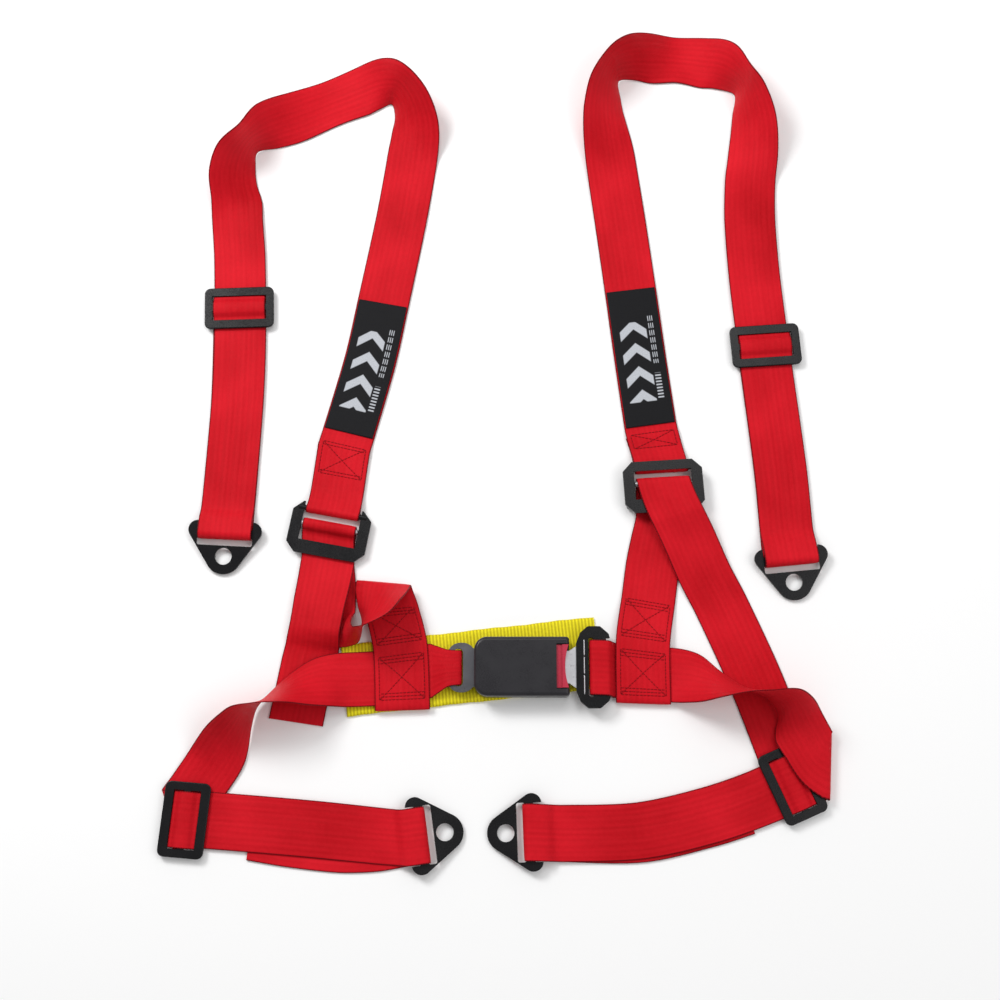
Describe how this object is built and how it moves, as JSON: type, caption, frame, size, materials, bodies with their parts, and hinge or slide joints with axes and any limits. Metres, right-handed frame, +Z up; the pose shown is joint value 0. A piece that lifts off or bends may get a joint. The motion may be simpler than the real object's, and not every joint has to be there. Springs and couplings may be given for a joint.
{
  "type": "racing harness",
  "caption": "Racing harness laid flat: sewn webbing straps with slides, tilt adjusters and anchor plates, joined by a push-button buckle over a comfort pad.",
  "frame": {"origin": "on the resting surface, under the middle of the overall box", "axes": "+X to the right of the laid-out harness as seen from above, +Y towards the rear straps' top bends, +Z up from the resting surface"},
  "size_m": [0.6216, 0.839, 0.0539],
  "materials": {
    "webbing": "woven polyester, dull",
    "label": "woven label, dull",
    "pad": "ribbed woven pad, dull",
    "black_metal": "satin black coating",
    "steel": "bright zinc plate",
    "grey_steel": "dull grey plate",
    "case_plastic": "satin moulded",
    "button_plastic": "smooth moulded",
    "white_plastic": "moulded",
    "grip_plastic": "satin moulded"
  },
  "bodies": {
    "buckle_half": {"buckle_lower_case": "case_plastic", "buckle_upper_case": "case_plastic", "case_screws": "steel", "buckle_frame": "grey_steel", "latch_pin": "steel", "latch_spring": "steel", "ejector_spring": "steel", "button_springs": "steel", "buckle_pad": "pad", "left_rear_strap": "webbing", "left_lap_strap": "webbing", "left_front_strap": "webbing", "left_tail": "webbing", "left_label": "label"},
    "tongue_half": {"tongue_plate": "steel", "tongue_grip": "grip_plastic", "right_lap_strap": "webbing", "right_front_strap": "webbing", "right_rear_strap": "webbing", "right_tail": "webbing", "right_label": "label"},
    "button": {"press_button": "button_plastic"},
    "latch": {"latch_plate": "steel"},
    "ejector_body": {"ejector": "white_plastic"},
    "left_rear_slider": {"left_rear_slide": "black_metal", "left_rear_bight": "webbing"},
    "right_rear_slider": {"right_rear_slide": "black_metal", "right_rear_bight": "webbing"},
    "left_lap_slider": {"left_lap_slide": "black_metal", "left_lap_bight": "webbing"},
    "right_lap_slider": {"right_lap_slide": "black_metal", "right_lap_bight": "webbing"},
    "left_rear_anchor_body": {"left_rear_anchor": "black_metal"},
    "right_rear_anchor_body": {"right_rear_anchor": "black_metal"},
    "left_lap_anchor_body": {"left_lap_anchor": "black_metal"},
    "right_lap_anchor_body": {"right_lap_anchor": "black_metal"},
    "left_adjuster": {"left_adjuster_frame": "black_metal", "left_grip_bar": "steel", "left_adjuster_bight": "webbing"},
    "right_adjuster": {"right_adjuster_frame": "black_metal", "right_grip_bar": "steel", "right_adjuster_bight": "webbing"}
  },
  "joints": [
    {"name": "tongue_release", "type": "slide", "parent": "buckle_half", "child": "tongue_half", "axis": [1, 0, 0], "range_m": [0, 0.045]},
    {"name": "button_press", "type": "slide", "parent": "buckle_half", "child": "button", "axis": [-1, 0, 0], "range_m": [0, 0.005], "stiffness_N_per_m": 400, "deforming": ["button_springs"]},
    {"name": "latch_lift", "type": "hinge", "parent": "buckle_half", "child": "latch", "pos_m": [-0.00144, -0.23199, 0.017], "axis": [0, -1, 0], "range_deg": [0, 3], "deforming": ["latch_spring"]},
    {"name": "ejector_slide", "type": "slide", "parent": "buckle_half", "child": "ejector_body", "axis": [1, 0, 0], "range_m": [0, 0.008], "deforming": ["ejector_spring"]},
    {"name": "left_rear_slide_move", "type": "slide", "parent": "buckle_half", "child": "left_rear_slider", "axis": [-0.0349, 0.9994, 0], "range_m": [-0.06, 0.05]},
    {"name": "right_rear_slide_move", "type": "slide", "parent": "tongue_half", "child": "right_rear_slider", "axis": [-0.0698, 0.9976, 0], "range_m": [-0.06, 0.05]},
    {"name": "left_lap_slide_move", "type": "slide", "parent": "buckle_half", "child": "left_lap_slider", "axis": [-0.9962, 0.0872, 0], "range_m": [-0.05, 0]},
    {"name": "right_lap_slide_move", "type": "slide", "parent": "tongue_half", "child": "right_lap_slider", "axis": [-0.9171, -0.3987, 0], "range_m": [0, 0.05]},
    {"name": "left_adjuster_tilt", "type": "hinge", "parent": "buckle_half", "child": "left_adjuster", "pos_m": [-0.15898, -0.08331, 0.0053], "axis": [-0.9833, 0.1822, 0], "range_deg": [0, 14]},
    {"name": "right_adjuster_tilt", "type": "hinge", "parent": "tongue_half", "child": "right_adjuster", "pos_m": [0.1554, -0.04002, 0.0053], "axis": [-0.9981, -0.061, 0], "range_deg": [0, 14]},
    {"name": "left_rear_anchor_swing", "type": "hinge", "parent": "buckle_half", "child": "left_rear_anchor_body", "pos_m": [-0.26094, -0.10399, 0.0063], "axis": [-0.9986, 0.0523, 0], "range_deg": [0, 100]},
    {"name": "right_rear_anchor_swing", "type": "hinge", "parent": "tongue_half", "child": "right_rear_anchor_body", "pos_m": [0.27626, -0.12899, 0.0063], "axis": [-0.9954, -0.0958, 0], "range_deg": [0, 100]},
    {"name": "left_lap_anchor_swing", "type": "hinge", "parent": "buckle_half", "child": "left_lap_anchor_body", "pos_m": [-0.07144, -0.38449, 0.0063], "axis": [0.1392, -0.9903, 0], "range_deg": [0, 100]},
    {"name": "right_lap_anchor_swing", "type": "hinge", "parent": "tongue_half", "child": "right_lap_anchor_body", "pos_m": [0.02756, -0.38149, 0.0063], "axis": [-0.0349, 0.9994, 0], "range_deg": [0, 100]}
  ],
  "couplings": [
    {"joint": "latch_lift", "follows": "button_press", "rad_per_m": 10.461},
    {"joint": "ejector_slide", "follows": "tongue_release", "ratio": 0.1776}
  ]
}
